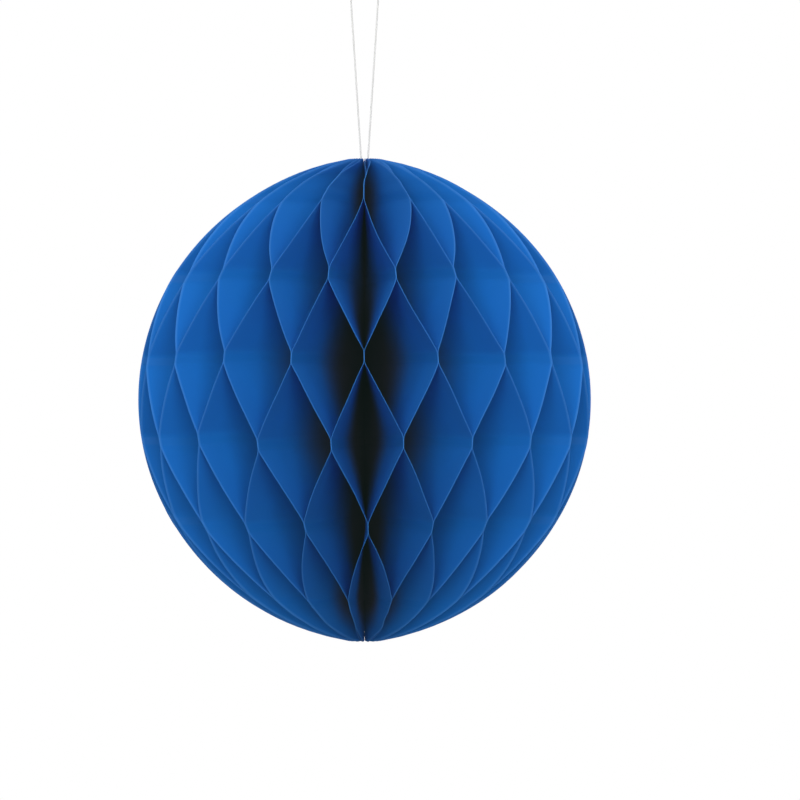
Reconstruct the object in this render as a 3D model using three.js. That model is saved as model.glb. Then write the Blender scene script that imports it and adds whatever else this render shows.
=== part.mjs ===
// A honeycomb ball: forty tissue-paper leaves fanned round a thread and glued to each other in
// bands at alternating heights, so that the spaces between the leaves open into diamond cells.
// Millimetres, +Z up. The origin is the top of the hanging loop, where a hook or pin carries it.
import * as THREE from 'three';

// The ball
const LEAF_COUNT = 40;
const CENTRE_Z = -180; // the ball's centre, below the hook
const OVAL_OUT = 106.7; // each leaf is cut from an oval of this half width...
const OVAL_UP = 101.5; // ...and this half height...
const CUT_IN = 13.2; // ...by a straight upright cut this far from the oval's centre
const HALF_HEIGHT = 99.6;

// One leaf
const PAPER = 0.15; // tissue is nearer 0.05, but this is a sound thickness for a solid
const LEAF_GAP = 0.15; // left between two leaves where they are glued
const GLUE_ROWS = 6;
const ROW_PITCH = 32.8;
const GLUE_WIDTH = 3; // a glued band is flat over this height
const MOUTH_HEIGHT = 4.1; // the spine's hole widens over this height at each pole...
const MOUTH_RADIUS = 2.8; // ...to this radius, which leaves the loop room to swing
const POLE_STEPS = [91.5, 95.5, 98]; // extra heights that round off the edge near the poles

// The thread
const THREAD = 0.8; // diameter
const KNOT_HEIGHT = 97.2; // above and below the ball's centre
const KNOT_RADIUS = 1.2;
const THREAD_GAP = 0.3; // between a knot and the threads on each side of it
const LOOP_RADIUS = 5.8; // of the arch at the loop's top
const STRAND_AT_KNOT = 0.58; // half the distance between the loop's two strands...
const STRAND_AT_POLE = 1.46; // ...and the same where they leave the ball

// The adhesive tabs that hold the first and last leaf together
const TAB_LENGTH = 12;
const TAB_HEIGHT = 3;
const TAB_THICK = 0.09;
const TAB_INSET = 2; // from the leaf's curved edge

const halfAngle = Math.PI / LEAF_COUNT; // from a leaf to the plane midway to the next one
const spacing = PAPER + LEAF_GAP; // between the middles of two glued leaves
const spineRadius = spacing / 2 / Math.tan(halfAngle); // where the leaves would meet

const paper = new THREE.MeshStandardMaterial({ color: '#1d5ba6', roughness: 0.85, metalness: 0 });
const thread = new THREE.MeshStandardMaterial({ color: '#e8e8e6', roughness: 0.8, metalness: 0 });
const dyedThread = new THREE.MeshStandardMaterial({ color: '#1a3460', roughness: 0.8, metalness: 0 });
const tape = new THREE.MeshStandardMaterial({ color: '#e6e4da', roughness: 0.4, metalness: 0 });

const group = new THREE.Group();

function add(name, geometry, material) {
  const mesh = new THREE.Mesh(geometry, material.clone());
  mesh.name = name;
  group.add(mesh);
}

const rowHeight = (row) => (row - (GLUE_ROWS - 1) / 2) * ROW_PITCH;

const edgeRadius = (height) => OVAL_OUT * Math.sqrt(1 - (height / OVAL_UP) ** 2) - CUT_IN;

function holeRadius(height) {
  const inMouth = Math.max(0, Math.abs(height) - (HALF_HEIGHT - MOUTH_HEIGHT)) / MOUTH_HEIGHT;
  return spineRadius + inMouth * (MOUTH_RADIUS - spineRadius);
}

// The heights where a leaf changes direction, from the bottom up. lean is +1 where the leaf
// touches the next leaf, -1 where it touches the one before, and 0 halfway between.
function leafLevels(side) {
  const lean = (row) => (row % 2 === 0 ? side : -side);
  const last = GLUE_ROWS - 1;
  const levels = [-HALF_HEIGHT, ...POLE_STEPS.map((z) => -z).reverse()];
  const bent = levels.map((height) => ({ height, lean: lean(0) }));
  for (let row = 0; row <= last; row += 1) {
    bent.push({ height: rowHeight(row) - GLUE_WIDTH / 2, lean: lean(row) });
    bent.push({ height: rowHeight(row) + GLUE_WIDTH / 2, lean: lean(row) });
    if (row < last) bent.push({ height: rowHeight(row) + ROW_PITCH / 2, lean: 0 });
  }
  for (const height of [...POLE_STEPS, HALF_HEIGHT]) bent.push({ height, lean: lean(last) });
  return bent;
}

// A leaf is a thin closed sheet in the X-Z plane, with X pointing away from the spine. Every
// level is a straight line out from the spine, so the paper only twists between two bands.
function makeLeaf(side) {
  const levels = leafLevels(side);
  const points = [];
  for (const { height, lean } of levels) {
    for (const radius of [holeRadius(height), edgeRadius(height)]) {
      const middle = lean * (radius * Math.tan(halfAngle) - spacing / 2);
      points.push([radius, middle - PAPER / 2, height], [radius, middle + PAPER / 2, height]);
    }
  }
  // Within one level: 0 and 1 are at the spine, 2 and 3 at the curved edge.
  const index = [];
  const quad = (a, b, c, d) => index.push(a, b, c, a, c, d);
  for (let low = 0; low < 4 * (levels.length - 1); low += 4) {
    const high = low + 4;
    quad(low, low + 2, high + 2, high);
    quad(low + 1, high + 1, high + 3, low + 3);
    quad(low + 2, low + 3, high + 3, high + 2);
    quad(low + 1, low, high, high + 1);
  }
  const top = 4 * (levels.length - 1);
  quad(0, 1, 3, 2);
  quad(top, top + 2, top + 3, top + 1);

  const geometry = new THREE.BufferGeometry();
  geometry.setAttribute('position', new THREE.Float32BufferAttribute(points.flat(), 3));
  geometry.setIndex(index);
  geometry.computeVertexNormals();
  return geometry;
}

// The first and last leaf meet at the back, on the +Y side, half a step each from the Y axis.
for (let i = 1; i <= LEAF_COUNT; i += 1) {
  const leaf = makeLeaf(i % 2 === 1 ? 1 : -1);
  leaf.rotateZ(Math.PI / 2 + (2 * i - 1) * halfAngle);
  leaf.translate(0, 0, CENTRE_Z);
  add(`leaf_${String(i).padStart(2, '0')}`, leaf, paper);
}

// Tabs lie between the last leaf and the first, at the three bands where those two touch.
const tabs = { closing_tab_bottom: 1, closing_tab_middle: 3, closing_tab_top: 5 };
for (const [name, row] of Object.entries(tabs)) {
  const outer = edgeRadius(Math.abs(rowHeight(row)) + GLUE_WIDTH / 2) - TAB_INSET;
  const tab = new THREE.BoxGeometry(TAB_THICK, TAB_LENGTH, TAB_HEIGHT);
  tab.translate(0, outer - TAB_LENGTH / 2, CENTRE_Z + rowHeight(row));
  add(name, tab, tape);
}

// The thread down the spine, dyed to match the paper and stopped by a knot at each pole.
const spineLength = 2 * (KNOT_HEIGHT - KNOT_RADIUS - THREAD_GAP);
const spine = new THREE.CylinderGeometry(THREAD / 2, THREAD / 2, spineLength, 8);
spine.rotateX(Math.PI / 2);
spine.translate(0, 0, CENTRE_Z);
add('spine_thread', spine, dyedThread);

for (const [name, height] of Object.entries({ top_knot: KNOT_HEIGHT, bottom_knot: -KNOT_HEIGHT })) {
  const knot = new THREE.IcosahedronGeometry(KNOT_RADIUS, 1);
  knot.translate(0, 0, CENTRE_Z + height);
  add(name, knot, dyedThread);
}

// The hanging loop: up one strand, over the arch, and down the other.
const loopEnd = CENTRE_Z + KNOT_HEIGHT + KNOT_RADIUS + THREAD_GAP;
const archCentre = THREAD / 2 - LOOP_RADIUS; // so the arch's inside rests on the origin
const strand = [
  [STRAND_AT_KNOT, loopEnd],
  [1.0, loopEnd + 0.9],
  [STRAND_AT_POLE, loopEnd + 2.4],
  [3.7, CENTRE_Z + HALF_HEIGHT + 36],
  [LOOP_RADIUS - 0.2, archCentre - 9],
];
const route = strand.map(([x, z]) => new THREE.Vector3(-x, 0, z));
for (const angle of [180, 150, 120, 90, 60, 30, 0]) {
  const turn = THREE.MathUtils.degToRad(angle);
  const x = LOOP_RADIUS * Math.cos(turn);
  route.push(new THREE.Vector3(x, 0, archCentre + LOOP_RADIUS * Math.sin(turn)));
}
route.push(...strand.map(([x, z]) => new THREE.Vector3(x, 0, z)).reverse());

const circle = new THREE.Shape().absarc(0, 0, THREAD / 2, 0, 2 * Math.PI);
const loop = new THREE.ExtrudeGeometry(circle, {
  steps: 72,
  curveSegments: 4,
  extrudePath: new THREE.CatmullRomCurve3(route),
});
add('hanging_loop', loop, thread);

export default group;
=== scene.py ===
# %% [markdown]
# # A paper honeycomb ball
# The ball is a stack of half-moon leaves of blue tissue, each glued to the next in six
# horizontal bands. The bands alternate, so when the stack is fanned round its spine the leaves
# pull apart into diamond cells. A thread runs down the spine, painted a dark blue as painted
# shade, and a white loop of thread carries the ball from its top. The frame that is loaded here
# already has every leaf, thread and knot at its true size. This script makes each of them again
# with the bends, twists and fibres of the real thing, and gives them their materials and light.

# %% Load the frame
import math

import bpy
import numpy as np
from mathutils import Euler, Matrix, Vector, noise


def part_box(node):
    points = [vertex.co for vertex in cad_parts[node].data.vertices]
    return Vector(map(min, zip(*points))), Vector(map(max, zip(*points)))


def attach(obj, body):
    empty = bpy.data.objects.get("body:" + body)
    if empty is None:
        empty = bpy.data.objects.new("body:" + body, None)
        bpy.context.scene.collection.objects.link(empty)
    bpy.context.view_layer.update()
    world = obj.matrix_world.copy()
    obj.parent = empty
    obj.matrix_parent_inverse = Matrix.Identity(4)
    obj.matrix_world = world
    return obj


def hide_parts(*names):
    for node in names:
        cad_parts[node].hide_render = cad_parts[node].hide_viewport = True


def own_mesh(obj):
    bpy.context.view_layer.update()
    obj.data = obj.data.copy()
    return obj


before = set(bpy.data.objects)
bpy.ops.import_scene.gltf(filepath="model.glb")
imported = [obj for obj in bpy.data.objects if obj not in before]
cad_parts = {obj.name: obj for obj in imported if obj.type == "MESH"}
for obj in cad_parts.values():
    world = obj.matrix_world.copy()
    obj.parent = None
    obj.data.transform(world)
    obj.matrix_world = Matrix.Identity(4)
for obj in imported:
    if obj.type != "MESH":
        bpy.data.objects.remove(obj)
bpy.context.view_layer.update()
scene = bpy.context.scene

# %% [markdown]
# ## Camera
# The ball is seen level and from straight in front, from over a metre away, so that its outline
# stays nearly as round as it is. The lens is long for the same reason. A small shift leaves room
# on one side and keeps the middle column of cells facing the lens.

# %% Camera
CENTRE_Z = -0.180  # the ball's centre; the origin is the top of the hanging loop
CAMERA_DISTANCE = 1.2
LENS = 130.3  # millimetres
SHIFT = 0.0443  # of the picture's width, to the ball's right


def deselect_all():
    if bpy.context.object and bpy.context.object.mode != "OBJECT":
        bpy.ops.object.mode_set(mode="OBJECT")
    bpy.ops.object.select_all(action="DESELECT")


deselect_all()
bpy.ops.object.camera_add(
    location=(0, -CAMERA_DISTANCE, CENTRE_Z), rotation=(math.pi / 2, 0, 0)
)
camera = bpy.context.object
camera.data.lens = LENS
camera.data.shift_x = SHIFT
scene.camera = camera
print("camera at", tuple(round(v, 3) for v in camera.location))

# %% [markdown]
# ## Sizes of the ball
# These are the measures that the frame was built to, in metres. Each leaf is cut from an oval, a
# little to one side of its middle, and its glued bands are evenly spaced. Only the mouth is a
# little wider here than in the frame, because these leaves waver there and the loop swings in it.

# %% Sizes
LEAF_COUNT = 40
OVAL_OUT = 0.1067
OVAL_UP = 0.1015
CUT_IN = 0.0132
HALF_HEIGHT = 0.0996
GLUE_ROWS = 6
ROW_PITCH = 0.0328
GLUE_WIDTH = 0.0030
MOUTH_HEIGHT = 0.0041
MOUTH_RADIUS = 0.0031
THREAD = 0.0008
KNOT_HEIGHT = 0.0972
KNOT_RADIUS = 0.0012
THREAD_GAP = 0.0003
LOOP_RADIUS = 0.0058
HALF_ANGLE = math.pi / LEAF_COUNT

# %% [markdown]
# ## Thread
# The thread is three thin plies twisted together. A plain round tube would look like wire, so
# each ply is a beveled curve wound round the thread's path, and the three are joined into one
# mesh. The path is worked out first, because the loop has to have its true length.


# %% A smooth path through a few points
def smooth_path(points, step):
    """Evenly spaced places on a curve through points."""
    points = [Vector(p) for p in points]
    ends = [2 * points[0] - points[1], *points, 2 * points[-1] - points[-2]]
    fine = []
    for a, b, c, d in zip(ends, ends[1:], ends[2:], ends[3:]):
        for k in range(40):
            t = k / 40
            fine.append(
                0.5
                * (
                    2 * b
                    + (c - a) * t
                    + (2 * a - 5 * b + 4 * c - d) * t**2
                    + (3 * b - a - 3 * c + d) * t**3
                )
            )
    fine = np.array([*fine, points[-1]])
    along = np.r_[0, np.cumsum(np.linalg.norm(np.diff(fine, axis=0), axis=1))]
    at = np.linspace(0, along[-1], max(2, round(along[-1] / step)) + 1)
    return np.stack([np.interp(at, along, fine[:, k]) for k in range(3)], axis=1)


def length_of(path):
    return float(np.linalg.norm(np.diff(path, axis=0), axis=1).sum())


# %% Plies wound round a path that lies in the X-Z plane
PLY_RADIUS = 0.00019
PLY_OFFSET = THREAD / 2 - PLY_RADIUS
TWIST_PITCH = 0.0034


def tube_along(name, points, radius):
    """A round tube, as a mesh, through points."""
    deselect_all()
    curve = bpy.data.curves.new(name, "CURVE")
    curve.dimensions = "3D"
    spline = curve.splines.new("POLY")
    spline.points.add(len(points) - 1)
    spline.points.foreach_set("co", np.c_[points, np.ones(len(points))].ravel())
    curve.bevel_depth = radius
    curve.bevel_resolution = 1
    curve.use_fill_caps = True
    tube = bpy.data.objects.new(name, curve)
    scene.collection.objects.link(tube)
    tube.select_set(True)
    bpy.context.view_layer.objects.active = tube
    bpy.ops.object.convert(target="MESH")
    return bpy.context.object


def twisted(name, path):
    """Three plies round path, joined into one thread."""
    run = np.gradient(path, axis=0)
    run /= np.linalg.norm(run, axis=1)[:, None]
    across = np.stack([-run[:, 2], 0 * run[:, 1], run[:, 0]], axis=1)
    along = np.r_[0, np.cumsum(np.linalg.norm(np.diff(path, axis=0), axis=1))]
    plies = []
    for k in range(3):
        turn = 2 * math.pi * (along / TWIST_PITCH + k / 3)
        side = across * np.cos(turn)[:, None]
        side[:, 1] = np.sin(turn)
        plies.append(tube_along(f"{name}_ply", path + PLY_OFFSET * side, PLY_RADIUS))
    deselect_all()
    for ply in plies:
        ply.select_set(True)
    bpy.context.view_layer.objects.active = plies[0]
    bpy.ops.object.join()
    thread = bpy.context.object
    thread.name = thread.data.name = name
    bpy.ops.object.shade_smooth()
    print(name, "is", round(1000 * length_of(path), 1), "mm long")
    return thread


# %% [markdown]
# ## Hanging loop
# Two strands leave the ball side by side, drift apart as they rise, and close in a small arch
# over whatever hook carries them. The weight of the ball keeps both strands straight.

# %% Hanging loop
loop_end = CENTRE_Z + KNOT_HEIGHT + KNOT_RADIUS + THREAD_GAP
arch_centre = THREAD / 2 - LOOP_RADIUS
strand = [
    (0.00058, loop_end),
    (0.0010, loop_end + 0.0009),
    (0.00146, loop_end + 0.0024),
    (0.0037, CENTRE_Z + HALF_HEIGHT + 0.036),
    (LOOP_RADIUS - 0.0002, arch_centre - 0.009),
]
arch = [
    (LOOP_RADIUS * math.cos(a), arch_centre + LOOP_RADIUS * math.sin(a))
    for a in np.radians([180, 150, 120, 90, 60, 30, 0])
]
route = [(-x, 0, z) for x, z in strand] + [(x, 0, z) for x, z in arch]
route += [(x, 0, z) for x, z in reversed(strand)]
loop_path = smooth_path(route, 0.0004)
hanging_loop = twisted("loop_of_thread", loop_path)
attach(hanging_loop, "loop")
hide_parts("hanging_loop")

# %% [markdown]
# ## Thread down the spine, and its knots
# Inside the ball a thread runs straight from pole to pole, and a knot at each end keeps it there.
# It could be one plain tube, but it shows in the open mouths, so it has the loop's three plies.
# A small knot pulled tight is a trefoil: one strand that passes over itself three times.

# %% Thread down the spine
spine_half = KNOT_HEIGHT - KNOT_RADIUS - THREAD_GAP
spine_path = smooth_path(
    [(0, 0, CENTRE_Z + h) for h in np.linspace(-spine_half, spine_half, 5)], 0.0005
)
spine = twisted("thread_down_spine", spine_path)
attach(spine, "spine")
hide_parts("spine_thread")

# %% Knots
KNOT_SCALE = 0.00027
KNOT_DEPTH = 2.2  # how far the strand moves up and down, against its inner ring of 1


def tie_knot(name, height, body, node):
    """A trefoil in the thread at a height from the ball's centre."""
    t = np.linspace(0, 2 * math.pi, 97)
    lobes = np.stack(
        [
            np.sin(t) + 2 * np.sin(2 * t),
            np.cos(t) - 2 * np.cos(2 * t),
            -KNOT_DEPTH * np.sin(3 * t),
        ],
        axis=1,
    )
    knot = tube_along(name, lobes * KNOT_SCALE + [0, 0, CENTRE_Z + height], THREAD / 2)
    bpy.ops.object.shade_smooth()
    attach(knot, body)
    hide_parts(node)
    return knot


knot_at_top = tie_knot("knot_at_top", KNOT_HEIGHT, "knot", "top_knot")
knot_at_foot = tie_knot("knot_at_foot", -KNOT_HEIGHT, "spine", "bottom_knot")
print("knots:", knot_at_top.name, knot_at_foot.name)

# %% [markdown]
# ## A flat leaf
# A leaf starts as a flat sheet. A grid is added and each of its rows is drawn out into a straight
# line from the spine to the curved edge, so the grid becomes a half-moon. This keeps the paper's
# lines running out from the spine, which is the only way that flat paper can twist between two
# bands. Its UV map is the flat sheet to scale, so that fibres are the same size all over.

# %% A flat leaf
PAPER = 0.00012
PAIR_GAP = 0.00003  # between two leaves where they are glued
ACROSS, UP = 14, 150
CROWDING = 0.55  # how much closer the rows of faces are at a band, where the bends are short
EDGEWARD = 0.8  # below 1, columns of faces are closer near the curved edge
FOOT_MOUTH = 0.00135
UV_PER_METRE = 10
spine_radius = (PAPER + PAIR_GAP) / 2 / math.tan(HALF_ANGLE)


def edge_radius(height):
    return OVAL_OUT * np.sqrt(1 - (height / OVAL_UP) ** 2) - CUT_IN


def hole_radius(height):
    """At the top it opens for the loop to swing in; at the foot it only clears the knot."""
    in_mouth = np.maximum(0, np.abs(height) - (HALF_HEIGHT - MOUTH_HEIGHT)) / MOUTH_HEIGHT
    mouth = spine_radius + in_mouth * (MOUTH_RADIUS - spine_radius)
    return np.where(height > 0, mouth, np.minimum(mouth, FOOT_MOUTH))


deselect_all()
bpy.ops.mesh.primitive_grid_add(
    x_subdivisions=ACROSS, y_subdivisions=UP, size=2, calc_uvs=True
)
flat_leaf = bpy.context.object
flat_leaf.name = flat_leaf.data.name = "flat_leaf"
grid = np.array([v.co for v in flat_leaf.data.vertices])
waves = 2 * math.pi * HALF_HEIGHT / ROW_PITCH
crowded = grid[:, 1] + CROWDING * np.sin(waves * grid[:, 1]) / waves
height = crowded / crowded.max() * HALF_HEIGHT
share = ((grid[:, 0] + 1) / 2) ** EDGEWARD
radius = hole_radius(height) + share * (edge_radius(height) - hole_radius(height))
flat_places = np.stack([radius, 0 * radius, height], axis=1)
flat_leaf.data.vertices.foreach_set("co", flat_places.ravel())
uv = flat_leaf.data.uv_layers[0]
corner = np.array([loop.vertex_index for loop in flat_leaf.data.loops])
flat_uv = np.stack([radius[corner], height[corner]], axis=1) * UV_PER_METRE
uv.data.foreach_set("uv", flat_uv.ravel())
uv.name = "sheet"
print("flat leaf:", len(flat_leaf.data.polygons), "faces")

# %% [markdown]
# ## How a leaf is bent
# In a glued band a leaf lies flat against one neighbour, halfway to it. One band further up it
# lies against the other neighbour. In between it crosses over, almost in a straight line, with a
# short bend where it leaves each band. Hand-glued bands are never quite level or evenly spaced,
# so each glued pair gets its own small error, which both of its leaves share. The whole ball
# hangs with a slight twist, mostly towards its foot, and its knot turns the very top a little
# further. Free paper also buckles, more towards the open edge and not at all where it is held.
# Beyond the last band nothing holds a pair together, so it wavers, and close to the pole its two
# leaves part, widely at the top, where the loop comes out, and hardly at all at the foot.

# %% Small errors of the glued pairs
HEIGHT_ERROR = 0.0005
ANGLE_ERROR = 0.3  # degrees
rng = np.random.default_rng(20)
band_error = rng.normal(0, HEIGHT_ERROR, (LEAF_COUNT, GLUE_ROWS))
angle_error = np.radians(rng.normal(0, ANGLE_ERROR, (LEAF_COUNT, GLUE_ROWS)))
TOP = GLUE_ROWS - 1
for pair, degrees in ((16, -2.0), (18, -0.4), (20, 0.0), (22, 2.6), (24, 1.2)):
    angle_error[pair, TOP] = np.radians(degrees)  # the pairs at the top of the front lean most
SEAM_ROOM = np.radians(0.036)  # the seam's two leaves stand this much further apart, for tape


def held_by(leaf, row):
    """The pair that holds a leaf at a row, and +1 if its partner is the next leaf, else -1."""
    side = 1 if (leaf + row) % 2 == 1 else -1
    return (leaf if side == 1 else leaf - 1) % LEAF_COUNT, side


# %% Bend a leaf
BEND = 0.06  # of a free stretch, taken up by the bend at each of its ends
BUCKLE = 0.010  # of the distance from the spine
BUCKLES_OUT, BUCKLES_UP = 22, 38  # to a metre
WAVER = np.radians(2.2)  # of a pair beyond its last band
WAVERS = 160  # to a metre
WAVER_OVER, WAVER_WAIT = 0.006, 0.4  # it grows over a stretch, and starts this share of it up
PAIR_STEP, LEAF_STEP = 7.3, 5.1  # far enough apart that no two pairs or leaves waver alike
EASE_FROM, EASE_OVER = 0.010, 0.0055  # from the last band up, the stretch where a pair parts
EASED = (0.25, 0.88)  # of the way back to even spacing, at the bottom pole and at the top one
row_heights = (np.arange(GLUE_ROWS) - (GLUE_ROWS - 1) / 2) * ROW_PITCH


def crossing(t):
    """0 to 1 as t goes from 0 to 1: straight, with a bend at each end."""
    t = np.clip(t, 0, 1)
    start = t**2 / (2 * BEND * (1 - BEND))
    middle = (t - BEND / 2) / (1 - BEND)
    end = 1 - (1 - t) ** 2 / (2 * BEND * (1 - BEND))
    return np.where(t < BEND, start, np.where(t > 1 - BEND, end, middle))


SWIRL, SWIRL_FROM = 7, 0.86  # degrees that the top pole is turned by its knot, and from where


def twist(z):
    """How far the whole ball is turned at a height, in radians."""
    share = z / HALF_HEIGHT
    at_top = np.clip((share - SWIRL_FROM) / (1 - SWIRL_FROM), 0, 1)
    return np.radians(1.1 * share**2 - 1.4 * share + SWIRL * at_top**2)


def bent(leaf, places):
    """How far a flat leaf's points go to the side, along the leaf's normal, and their band number.
    """
    r, z = places[:, 0], places[:, 2]
    holds = [held_by(leaf, row) for row in range(GLUE_ROWS)]
    heights = row_heights + [band_error[pair, row] for row, (pair, _) in enumerate(holds)]
    angles = np.array(
        [
            side * (HALF_ANGLE - (SEAM_ROOM if pair == 0 else 0)) + angle_error[pair, row]
            for row, (pair, side) in enumerate(holds)
        ]
    )
    angle = np.full(len(z), angles[0])
    free = np.zeros(len(z))
    for low in range(GLUE_ROWS - 1):
        start = heights[low] + GLUE_WIDTH / 2
        t = (z - start) / (heights[low + 1] - GLUE_WIDTH / 2 - start)
        s = crossing(t)
        angle += (angles[low + 1] - angles[low]) * s
        free += 4 * s * (1 - s)
    for row, beyond, eased in (
        (0, heights[0] - z, EASED[0]),
        (GLUE_ROWS - 1, z - heights[-1], EASED[1]),
    ):
        pair = holds[row][0]
        parting = eased * crossing((beyond - EASE_FROM) / EASE_OVER)
        angle += (0 - angle) * np.where(beyond > 0, parting, 0)
        wave = [noise.noise(Vector((PAIR_STEP * pair, h * WAVERS, row))) for h in z]
        angle += WAVER * np.array(wave) * np.clip(beyond / WAVER_OVER - WAVER_WAIT, 0, 1)
    angle += twist(z)
    buckle = [
        noise.noise(Vector((x * BUCKLES_OUT, h * BUCKLES_UP, LEAF_STEP * leaf)))
        for x, h in zip(r, z)
    ]
    from_spine = np.maximum(r - spine_radius, 0)
    side = from_spine * (np.tan(angle) + BUCKLE * free * np.array(buckle))
    band = np.interp(z, heights, range(GLUE_ROWS))
    band += (z - np.clip(z, heights[0], heights[-1])) / ROW_PITCH
    return side, band


# %% [markdown]
# ## Forty leaves
# The flat leaf is copied forty times. Each copy is bent for its own pair of neighbours, given the
# thickness of tissue with Solidify, and turned to its place round the spine. It stands for its
# leaf in the frame and moves with it. Paper far from the cut edge, or in the narrow angle near the
# spine, gets little light, so a measure of that is stored with each leaf, for its material to
# paint in as shade, next to its distance from the edge and its band number.

# %% Make the leaves
DEEP_FROM, DEEP_OVER = 0.027, 0.036  # how far in from the edge the painted shade starts
NARROW_AT_FOOT, NARROW_AT_TOP, NARROW_OVER = 0.036, 0.022, 0.020  # the same, from the spine
LIT_EDGE = 0.005
out_share = (flat_places[:, 0] + CUT_IN) / OVAL_OUT
up_share = flat_places[:, 2] / OVAL_UP
oval_share = np.hypot(out_share, up_share)  # 1 on the curved edge
steepness = np.hypot(out_share / OVAL_OUT, up_share / OVAL_UP) / oval_share
from_edge = (1 - oval_share) / steepness
deep = np.clip((from_edge - DEEP_FROM) / DEEP_OVER, 0, 1)
narrow_from = np.where(flat_places[:, 2] < 0, NARROW_AT_FOOT, NARROW_AT_TOP)
narrow = np.clip((narrow_from - flat_places[:, 0]) / NARROW_OVER, 0, 1)
# the painted shade by the spine stays clear of the last few millimetres next to the cut edge
narrow *= np.clip(from_edge / LIT_EDGE, 0, 1)
# painted shade: how much darker the paper's colour is made deep in the cells and by the spine,
# where little light reaches
painted_shade = np.maximum(deep, narrow)
painted_shade = painted_shade**2 * (3 - 2 * painted_shade)
leaves = []
normals = {}
for number in range(1, LEAF_COUNT + 1):
    deselect_all()
    flat_leaf.select_set(True)
    bpy.context.view_layer.objects.active = flat_leaf
    bpy.ops.object.duplicate()
    leaf = bpy.context.object
    leaf.name = leaf.data.name = f"tissue_leaf_{number:02d}"
    side, band = bent(number, flat_places)
    turn = math.pi / 2 + (2 * number - 1) * HALF_ANGLE
    out = np.array([math.cos(turn), math.sin(turn), 0])
    normal = normals[number] = np.array([-math.sin(turn), math.cos(turn), 0])
    places = flat_places[:, :1] * out + side[:, None] * normal
    places[:, 2] = flat_places[:, 2] + CENTRE_Z
    leaf.data.vertices.foreach_set("co", places.ravel())
    shelter = 0 * painted_shade if number in (1, LEAF_COUNT) else painted_shade  # no painted shade on the covers
    for name, values in (("from_edge", from_edge * 1000), ("painted_shade", shelter), ("band", band)):
        leaf.data.attributes.new(name, "FLOAT", "POINT").data.foreach_set("value", values)
    shifted = flat_uv + rng.uniform(0, 40, 2)
    leaf.data.uv_layers[0].data.foreach_set("uv", shifted.ravel())
    thickness = leaf.modifiers.new("paper", "SOLIDIFY")
    thickness.thickness, thickness.offset = PAPER, 0
    bpy.ops.object.modifier_apply(modifier="paper")
    bpy.ops.object.shade_smooth_by_angle(angle=math.radians(40))
    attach(leaf, f"leaf_{number:02d}")
    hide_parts(f"leaf_{number:02d}")
    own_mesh(leaf)
    leaves.append(leaf)
bpy.data.objects.remove(flat_leaf)

# %% [markdown]
# ## Closing tabs
# Three strips of double-sided tape join the last leaf to the first, at the bands where those two
# meet. Each is a thin box with its corners rounded off, as cut from a roll. They stick to the last
# leaf and stay on it when the ball is folded. The seam has its own small errors and its share of
# the ball's twist, so each strip is turned to lie inside it.

# %% Closing tabs
TAB_CORNER = 0.0006
tabs = []
for row, node in ((1, "closing_tab_bottom"), (3, "closing_tab_middle"), (5, "closing_tab_top")):
    low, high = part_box(node)
    deselect_all()
    bpy.ops.mesh.primitive_cube_add(size=1)
    tab = bpy.context.object
    tab.name = tab.data.name = node.replace("closing_tab", "tape_tab")
    tab.scale = [b - a for a, b in zip(low, high)]
    tab.location = [(a + b) / 2 for a, b in zip(low, high)]
    bpy.ops.object.transform_apply(location=True, rotation=True, scale=True)
    bpy.ops.object.mode_set(mode="EDIT")
    bpy.ops.mesh.select_mode(type="EDGE")
    bpy.ops.mesh.select_all(action="DESELECT")
    bpy.ops.object.mode_set(mode="OBJECT")
    for edge in tab.data.edges:
        a, b = (tab.data.vertices[v].co for v in edge.vertices)
        edge.select = abs(a.y - b.y) < 1e-6 and abs(a.z - b.z) < 1e-6
    bpy.ops.object.mode_set(mode="EDIT")
    bpy.ops.mesh.bevel(offset=TAB_CORNER, segments=4)
    bpy.ops.object.mode_set(mode="OBJECT")
    for corner in tab.data.vertices:
        corner.co.z += band_error[0, row]
        lean = angle_error[0, row] + float(twist(corner.co.z - CENTRE_Z))
        corner.co.rotate(Euler((0, 0, lean)))
    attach(tab, "leaf_40")
    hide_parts(node)
    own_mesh(tab)
    tabs.append(tab)
print("tabs:", [tab.name for tab in tabs])

# %% [markdown]
# ## Tissue
# Tissue is dyed right through, so its colour is strong, but it is thin enough to glow when light
# comes from behind. Its cut edge is painted paler, a painted highlight for the loose fibres there
# that catch light. Where it is glued, it is a little smoother, as a band right across the leaf.
# Over the first finger's width of a cell, where the most light falls, its colour is made a little
# darker, a painted shade that tempers that light. Light that gets past it bounces from leaf to
# leaf and keeps its blue, but deep down by the spine there is next to none, so a neutral dark is
# painted in there as shade. The leaves carry two measures of this, made above: how far a point is
# from the cut edge, and how much painted shade it gets. The first and last leaf are the covers of
# the folded ball, where that painted shade would show, so they get none of it.


# %% A helper for nodes
def add_node(tree, kind, values=None, **settings):
    """A node with its settings made and its inputs set to a value or linked to a socket."""
    made = tree.nodes.new(kind)
    for key, value in settings.items():
        setattr(made, key, value)
    for key, value in (values or {}).items():
        if isinstance(value, bpy.types.NodeSocket):
            tree.links.new(value, made.inputs[key])
        else:
            made.inputs[key].default_value = value
    return made


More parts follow.
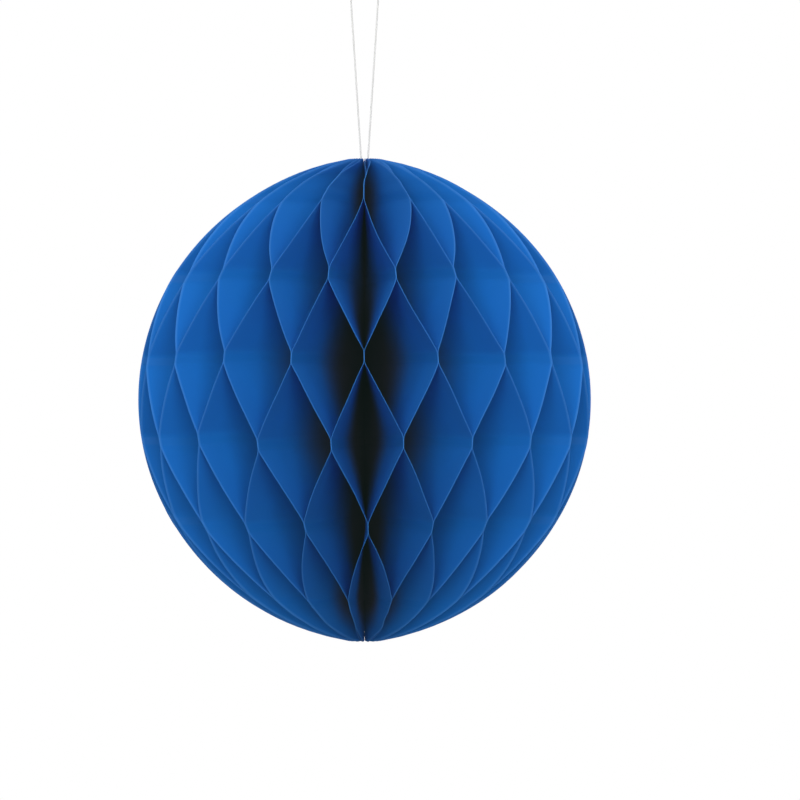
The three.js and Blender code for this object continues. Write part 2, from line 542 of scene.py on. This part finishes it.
# %% Fibres, as a group that paper, thread and tape share
TISSUE_FINENESS, COTTON_FINENESS, TAPE_FINENESS = 260, 5200, 900
fibres = bpy.data.node_groups.new("fibres", "ShaderNodeTree")
for name, kind, way in (
    ("Vector", "NodeSocketVector", "INPUT"),
    ("Fineness", "NodeSocketFloat", "INPUT"),
    ("Stretch", "NodeSocketFloat", "INPUT"),
    ("Cloud", "NodeSocketFloat", "OUTPUT"),
    ("Hairs", "NodeSocketFloat", "OUTPUT"),
):
    fibres.interface.new_socket(name, in_out=way, socket_type=kind)
inside = add_node(fibres, "NodeGroupInput").outputs
lengthened = add_node(
    fibres,
    "ShaderNodeCombineXYZ",
    {"X": 1, "Y": inside["Stretch"], "Z": 1},
).outputs["Vector"]
along_fibre = add_node(
    fibres, "ShaderNodeVectorMath", {0: inside["Vector"], 1: lengthened}, operation="MULTIPLY"
).outputs["Vector"]
cloud = add_node(
    fibres,
    "ShaderNodeTexNoise",
    {"Vector": inside["Vector"], "Scale": 9, "Detail": 4, "Roughness": 0.6},
)
hairs = add_node(
    fibres,
    "ShaderNodeTexNoise",
    {"Vector": along_fibre, "Scale": inside["Fineness"], "Detail": 3, "Distortion": 0.6},
)
add_node(
    fibres,
    "NodeGroupOutput",
    {"Cloud": cloud.outputs["Fac"], "Hairs": hairs.outputs["Fac"]},
)

# %% Tissue material
tissue = bpy.data.materials.new("blue_tissue")
tissue.use_nodes = True
tree = tissue.node_tree
tree.nodes.clear()
sheet_uv = add_node(tree, "ShaderNodeUVMap", uv_map="sheet").outputs["UV"]
paper = add_node(tree, "ShaderNodeGroup", {}, node_tree=fibres)
tree.links.new(sheet_uv, paper.inputs["Vector"])
paper.inputs["Fineness"].default_value = TISSUE_FINENESS
paper.inputs["Stretch"].default_value = 0.3

edge_gap = add_node(tree, "ShaderNodeAttribute", attribute_name="from_edge").outputs["Fac"]
# painted highlight: the paper is paler within about a millimetre of the cut edge
edge_highlight_mask = add_node(
    tree,
    "ShaderNodeMapRange",
    {"Value": edge_gap, "From Min": 0.1, "From Max": 1.2, "To Min": 1, "To Max": 0},
    interpolation_type="SMOOTHSTEP",
).outputs["Result"]
# painted shade: the paper is a little darker over its first 15 mm from the cut edge, where the
# most light falls
painted_rim_mask = add_node(
    tree,
    "ShaderNodeMapRange",
    {"Value": edge_gap, "From Min": 2, "From Max": 15, "To Min": 1, "To Max": 0},
    interpolation_type="SMOOTHSTEP",
).outputs["Result"]
in_shade = add_node(tree, "ShaderNodeAttribute", attribute_name="painted_shade").outputs["Fac"]
band_number = add_node(tree, "ShaderNodeAttribute", attribute_name="band").outputs["Fac"]
shifted_band = add_node(tree, "ShaderNodeMath", {0: band_number, 1: 50.5}).outputs[0]
in_row = add_node(tree, "ShaderNodeMath", {0: shifted_band}, operation="FRACT").outputs[0]
off_row = add_node(tree, "ShaderNodeMath", {0: in_row, 1: 0.5}, operation="SUBTRACT").outputs[0]
from_band = add_node(tree, "ShaderNodeMath", {0: off_row}, operation="ABSOLUTE").outputs[0]
half_band = GLUE_WIDTH / 2 / ROW_PITCH
glued = add_node(
    tree,
    "ShaderNodeMapRange",
    {"Value": from_band, "From Min": half_band * 0.8, "From Max": half_band * 1.2,
     "To Min": 1, "To Max": 0},
    interpolation_type="SMOOTHSTEP",
).outputs["Result"]


def tint(fac, colour_a, colour_b):
    """From colour_a to colour_b as fac goes from 0 to 1."""
    mix = add_node(tree, "ShaderNodeMix", {"Factor": fac}, data_type="RGBA")
    for socket, value in ((mix.inputs[6], colour_a), (mix.inputs[7], colour_b)):
        if isinstance(value, bpy.types.NodeSocket):
            tree.links.new(value, socket)
        else:
            socket.default_value = (*value, 1)
    return mix.outputs[2]


# Of these six colours, the last three are painted light: shade near the cut edge, shade deep in
# the cells, and a highlight on the cut edge.
THIN_DYE, THICK_DYE = (0.002, 0.165, 0.57), (0.004, 0.195, 0.65)
GLUED_DYE, PAINTED_RIM_SHADE = (0.004, 0.178, 0.60), (0.004, 0.160, 0.56)
DEEP_SHADE, PAINTED_EDGE_HIGHLIGHT = (0.070, 0.056, 0.090), (0.035, 0.225, 0.64)
dye_and_painted_shade = tint(paper.outputs["Cloud"], THIN_DYE, THICK_DYE)
dye_and_painted_shade = tint(glued, dye_and_painted_shade, GLUED_DYE)
# painted shade: a neutral dark deep in the cells and by the spine
dye_and_painted_shade = tint(in_shade, dye_and_painted_shade, DEEP_SHADE)
# painted shade near the cut edge, where the most light falls
dye_and_painted_shade = tint(painted_rim_mask, dye_and_painted_shade, PAINTED_RIM_SHADE)
# painted highlight along the cut edge
colour = tint(edge_highlight_mask, dye_and_painted_shade, PAINTED_EDGE_HIGHLIGHT)
rough = add_node(
    tree,
    "ShaderNodeMapRange",
    {"Value": glued, "To Min": 0.86, "To Max": 0.62},
).outputs["Result"]
bump = add_node(
    tree,
    "ShaderNodeBump",
    {"Height": paper.outputs["Hairs"], "Strength": 0.18, "Distance": 0.0002},
).outputs["Normal"]
surface = add_node(
    tree,
    "ShaderNodeBsdfPrincipled",
    {"Base Color": colour, "Roughness": rough, "Normal": bump, "Specular IOR Level": 0.2},
)
glow = add_node(tree, "ShaderNodeBsdfTranslucent", {"Color": colour, "Normal": bump})
LET_THROUGH = 0.35  # of the light that the paper sends on
both = add_node(
    tree, "ShaderNodeMixShader", {0: LET_THROUGH, 1: surface.outputs[0], 2: glow.outputs[0]}
)
add_node(tree, "ShaderNodeOutputMaterial", {"Surface": both.outputs[0]})
for leaf in leaves:
    leaf.data.materials.clear()
    leaf.data.materials.append(tissue)
print("tissue on", len(leaves), "leaves")

# %% [markdown]
# ## Thread and tape
# The thread is cotton: dull, with a fuzz of fine hairs, which is given as a bump because each
# hair is far too thin to model, and it is painted darker between the hairs as painted shade. The
# loop is bleached. The thread that binds the leaves is painted a dark blue, darker than the
# leaves, as painted shade, so that it doesn't show in the cells. The three tabs that close the
# ball at the back are thin tape with a faint cream adhesive.

# %% Thread materials
def thread_material(name, painted_hollow_shade, crests):
    """Cotton, from one colour between its hairs to another on top of them; the darker one between
    the hairs is painted shade.
    """
    cotton = bpy.data.materials.new(name)
    cotton.use_nodes = True
    tree = cotton.node_tree
    principled = tree.nodes["Principled BSDF"]
    position = add_node(tree, "ShaderNodeTexCoord").outputs["Object"]
    hair = add_node(tree, "ShaderNodeGroup", {}, node_tree=fibres)
    tree.links.new(position, hair.inputs["Vector"])
    hair.inputs["Fineness"].default_value = COTTON_FINENESS
    hair.inputs["Stretch"].default_value = 0.5
    # painted shade: darker between the hairs, lighter on top of them
    shade = add_node(tree, "ShaderNodeMix", {"Factor": hair.outputs["Hairs"]}, data_type="RGBA")
    shade.inputs[6].default_value = (*painted_hollow_shade, 1)
    shade.inputs[7].default_value = (*crests, 1)
    tree.links.new(shade.outputs[2], principled.inputs["Base Color"])
    fuzz = add_node(
        tree,
        "ShaderNodeBump",
        {"Height": hair.outputs["Hairs"], "Strength": 0.4, "Distance": 0.00005},
    )
    tree.links.new(fuzz.outputs["Normal"], principled.inputs["Normal"])
    principled.inputs["Roughness"].default_value = 0.8
    principled.inputs["Sheen Weight"].default_value = 0.3
    return cotton


white_cotton = thread_material("white_cotton", (0.50, 0.50, 0.49), (0.68, 0.68, 0.67))
# painted shade: the thread and knots inside the ball are darker than the leaves, so that they
# don't show in the cells
blue_cotton_painted_shade = thread_material("blue_cotton_painted_shade", (0.006, 0.022, 0.080), (0.014, 0.045, 0.150))
for piece, cotton in (
    (hanging_loop, white_cotton),
    (spine, blue_cotton_painted_shade),
    (knot_at_top, blue_cotton_painted_shade),
    (knot_at_foot, blue_cotton_painted_shade),
):
    piece.data.materials.clear()
    piece.data.materials.append(cotton)
print("thread:", white_cotton.name, "for the loop,", blue_cotton_painted_shade.name, "inside the ball")

# %% Tape material
tape = bpy.data.materials.new("tape")
tape.use_nodes = True
tree = tape.node_tree
principled = tree.nodes["Principled BSDF"]
position = add_node(tree, "ShaderNodeTexCoord").outputs["Object"]
streaks = add_node(tree, "ShaderNodeGroup", {}, node_tree=fibres)
tree.links.new(position, streaks.inputs["Vector"])
streaks.inputs["Fineness"].default_value = TAPE_FINENESS
streaks.inputs["Stretch"].default_value = 0.2
shade = add_node(tree, "ShaderNodeMix", {"Factor": streaks.outputs["Cloud"]}, data_type="RGBA")
shade.inputs[6].default_value = (0.66, 0.63, 0.55, 1)
shade.inputs[7].default_value = (0.80, 0.78, 0.70, 1)
tree.links.new(shade.outputs[2], principled.inputs["Base Color"])
principled.inputs["Roughness"].default_value = 0.35
for tab in tabs:
    tab.data.materials.clear()
    tab.data.materials.append(tape)

# %% [markdown]
# ## Studio
# A white room: a floor far below the ball, a white surround that is brighter overhead, and two
# wide soft lights in front. The lower one is nearly level with the ball, so that it reaches into
# the cells, and the weaker one lights their tops. To the lens the floor and surround are pure
# white. Around the ball they give less light than that, so that it keeps its shape. A bright room
# also throws a little light over the lens, so the deepest shadows never go quite black.

# %% Floor
FLOOR_Z, FLOOR_SIZE = -1.8, 30
FLOOR_GREY = 0.22
deselect_all()
bpy.ops.mesh.primitive_plane_add(size=FLOOR_SIZE, location=(0, 0, FLOOR_Z))
floor = bpy.context.object
floor.name = "floor"
chalk = bpy.data.materials.new("floor_white")
chalk.use_nodes = True
tree = chalk.node_tree
matt = tree.nodes["Principled BSDF"]
matt.inputs["Base Color"].default_value = (FLOOR_GREY, FLOOR_GREY, FLOOR_GREY, 1)
matt.inputs["Roughness"].default_value = 0.9
lens_ray = add_node(tree, "ShaderNodeLightPath").outputs["Is Camera Ray"]
white = add_node(tree, "ShaderNodeEmission", {"Color": (1, 1, 1, 1), "Strength": 1.0})
as_seen = add_node(
    tree, "ShaderNodeMixShader", {0: lens_ray, 1: matt.outputs[0], 2: white.outputs[0]}
)
tree.links.new(as_seen.outputs[0], tree.nodes["Material Output"].inputs["Surface"])
floor.data.materials.append(chalk)

# %% Surround
LEVEL_LIGHT, OVERHEAD_LIGHT = 0.38, 1.30
world = bpy.data.worlds.new("surround")
scene.world = world
world.use_nodes = True
tree = world.node_tree
dim = tree.nodes["Background"]
dim.inputs["Color"].default_value = (1, 1, 1, 1)
facing = add_node(tree, "ShaderNodeTexCoord").outputs["Generated"]
upward = add_node(tree, "ShaderNodeSeparateXYZ", {"Vector": facing}).outputs["Z"]
brightness = add_node(
    tree,
    "ShaderNodeMapRange",
    {"Value": upward, "From Min": 0, "To Min": LEVEL_LIGHT, "To Max": OVERHEAD_LIGHT},
).outputs["Result"]
tree.links.new(brightness, dim.inputs["Strength"])
bright = add_node(tree, "ShaderNodeBackground", {"Color": (1, 1, 1, 1), "Strength": 1.0})
lens_ray = add_node(tree, "ShaderNodeLightPath").outputs["Is Camera Ray"]
seen = add_node(
    tree, "ShaderNodeMixShader", {0: lens_ray, 1: dim.outputs[0], 2: bright.outputs[0]}
)
tree.links.new(seen.outputs[0], tree.nodes["World Output"].inputs["Surface"])


# %% Lights
VEIL = (0.0038, 0.0072, 0.006)  # the little light that a bright room throws over its shadows


def softbox(name, place, width, height, energy):
    deselect_all()
    bpy.ops.object.light_add(type="AREA", location=place)
    box = bpy.context.object
    box.name = name
    box.data.shape, box.data.size, box.data.size_y = "RECTANGLE", width, height
    box.data.energy = energy
    aim = Vector((0, 0, CENTRE_Z)) - box.location
    box.rotation_euler = aim.to_track_quat("-Z", "Y").to_euler()


softbox("front_softbox", (0.0, -2.0, CENTRE_Z + 0.25), 1.6, 1.6, 42)
softbox("high_softbox", (0.0, -1.6, CENTRE_Z + 1.2), 2.6, 1.8, 5)
scene.view_settings.view_transform = "Standard"
scene.view_settings.use_curve_mapping = True
for curve, veil in zip(scene.view_settings.curve_mapping.curves, VEIL):
    curve.points[0].location = (0, veil)
scene.view_settings.curve_mapping.update()
